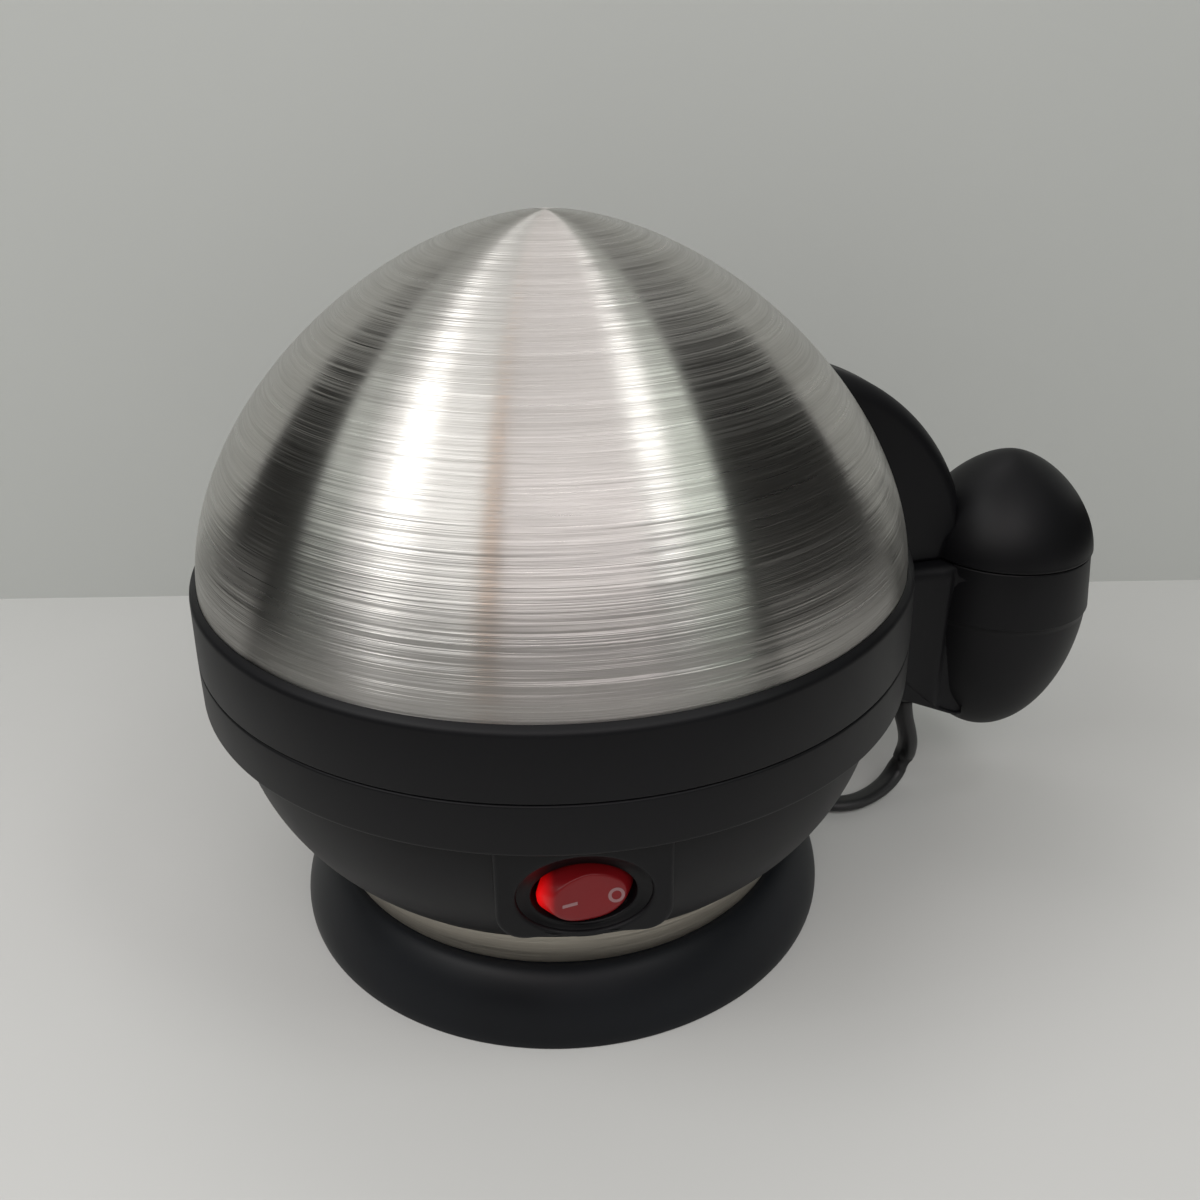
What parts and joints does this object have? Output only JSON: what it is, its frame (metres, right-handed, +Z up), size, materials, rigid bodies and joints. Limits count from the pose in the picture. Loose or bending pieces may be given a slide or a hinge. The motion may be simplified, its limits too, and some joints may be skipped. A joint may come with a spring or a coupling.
{
  "type": "egg cooker",
  "caption": "Electric egg cooker: brushed steel dome lid, black bowl base with rocker switch, egg-shaped split side handle, egg rack, heated dish and coiled mains cord.",
  "frame": {"origin": "centre of the foot's underside, on the dome's axis, on the table", "axes": "+Z up along the dome's axis; the switch faces -Y; the handle points to +X, turned 10 degrees towards +Y"},
  "size_m": [0.2428, 0.2595, 0.1791],
  "materials": {
    "black_plastic": "moulded, fine satin",
    "foot_plastic": "moulded, fine satin",
    "collar_steel": "satin",
    "dome_steel": "spun and brushed in circles",
    "dish_steel": "pressed sheet",
    "zinc_steel": "zinc plated",
    "switch_black": "moulded",
    "rocker_red": "glowing red, moulded",
    "brass": "stamped",
    "silicone": "soft white",
    "aluminium": "die cast",
    "rack_aluminium": "satin anodised",
    "element_sheath": "heat-darkened",
    "thermostat_black": "moulded",
    "ceramic_white": "fired",
    "lead_red": "silicone insulation",
    "flex_black": "smooth sheath",
    "tie_black": "moulded",
    "plug_black": "moulded",
    "pin_nickel": "nickel plated"
  },
  "bodies": {
    "base": {"foot_base": "foot_plastic", "bottom_plate": "black_plastic", "plate_screws": "zinc_steel", "collar_ring": "collar_steel", "bowl_housing": "black_plastic", "base_screws": "zinc_steel", "switch_body": "switch_black", "switch_terminals": "brass", "heating_plate": "dish_steel", "plate_gasket": "silicone", "heat_spreader": "aluminium", "heating_element": "element_sheath", "element_bracket": "dish_steel", "clamp_studs": "zinc_steel", "clamp_nuts": "zinc_steel", "thermostat": "thermostat_black", "thermal_fuse": "ceramic_white", "terminal_block": "ceramic_white", "inner_leads": "lead_red", "handle_base": "black_plastic", "handle_screws": "zinc_steel", "cord_boot": "flex_black", "cord": "flex_black", "cord_coil": "flex_black", "cord_tie": "tie_black", "cord_tail": "flex_black", "plug_body": "plug_black", "plug_pins": "pin_nickel"},
    "lid": {"lid_rim": "black_plastic", "dome_shell": "dome_steel", "lid_arm": "black_plastic", "egg_cap": "black_plastic", "arm_screws": "zinc_steel"},
    "rack": {"egg_rack": "rack_aluminium"},
    "rocker": {"rocker": "rocker_red"}
  },
  "joints": [
    {"name": "lid_lift", "type": "slide", "parent": "base", "child": "lid", "axis": [0, 0, 1], "range_m": [0, 0.15]},
    {"name": "rack_lift", "type": "slide", "parent": "base", "child": "rack", "axis": [0, 0, 1], "range_m": [0, 0.06]},
    {"name": "rocker_tilt", "type": "hinge", "parent": "base", "child": "rocker", "pos_m": [0, -0.0772, 0.0557], "axis": [0, 0, -1], "range_deg": [0, 20]}
  ],
  "couplings": [
    {"joint": "rack_lift", "follows": "lid_lift", "ratio": 0.4}
  ]
}
